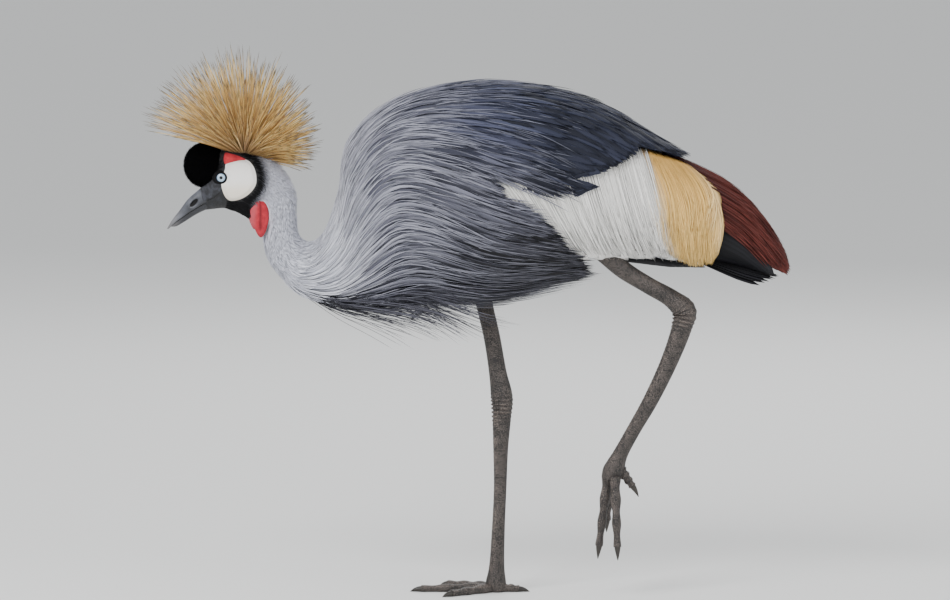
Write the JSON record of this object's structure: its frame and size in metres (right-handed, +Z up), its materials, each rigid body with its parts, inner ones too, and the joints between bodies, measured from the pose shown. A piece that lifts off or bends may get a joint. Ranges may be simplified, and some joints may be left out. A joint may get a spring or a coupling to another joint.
{
  "type": "grey crowned crane",
  "caption": "Still, life-size grey crowned crane standing on one foot in mid-stride, head low, with a fan crest, long neck plumes, pale wings and a dark rufous rear.",
  "frame": {"origin": "centre of the outline on the floor, below the body", "axes": "+Z up, the bill points along -X, the left side faces -Y"},
  "size_m": [0.734, 0.2173, 0.6208],
  "materials": {
    "body_feathers": "matte",
    "neck_plumes": "matte",
    "neck_feathers": "matte",
    "head_skin": "matte",
    "cap_velvet": "matte",
    "bill": "satin",
    "eye": "gloss",
    "wattle_skin": "satin",
    "crest_bristles": "matte",
    "wing_feathers": "matte",
    "tail_feathers": "matte",
    "leg_scales": "matte",
    "claw": "satin"
  },
  "bodies": {
    "root": {"torso": "body_feathers", "neck_lower": "neck_plumes", "neck_upper": "neck_feathers", "head": "head_skin", "forehead_cap": "cap_velvet", "bill_upper": "bill", "bill_lower": "bill", "eye_left": "eye", "eye_right": "eye", "wattle": "wattle_skin", "crest": "crest_bristles", "wing_left": "wing_feathers", "wing_right": "wing_feathers", "tail": "tail_feathers", "leg_right_upper": "leg_scales", "leg_right_lower": "leg_scales", "foot_right": "leg_scales", "claw_right_middle": "claw", "claw_right_inner": "claw", "claw_right_outer": "claw", "claw_right_hind": "claw", "leg_left_upper": "leg_scales", "leg_left_lower": "leg_scales", "foot_left": "leg_scales", "claw_left_middle": "claw", "claw_left_inner": "claw", "claw_left_outer": "claw", "claw_left_hind": "claw"}
  },
  "joints": []
}
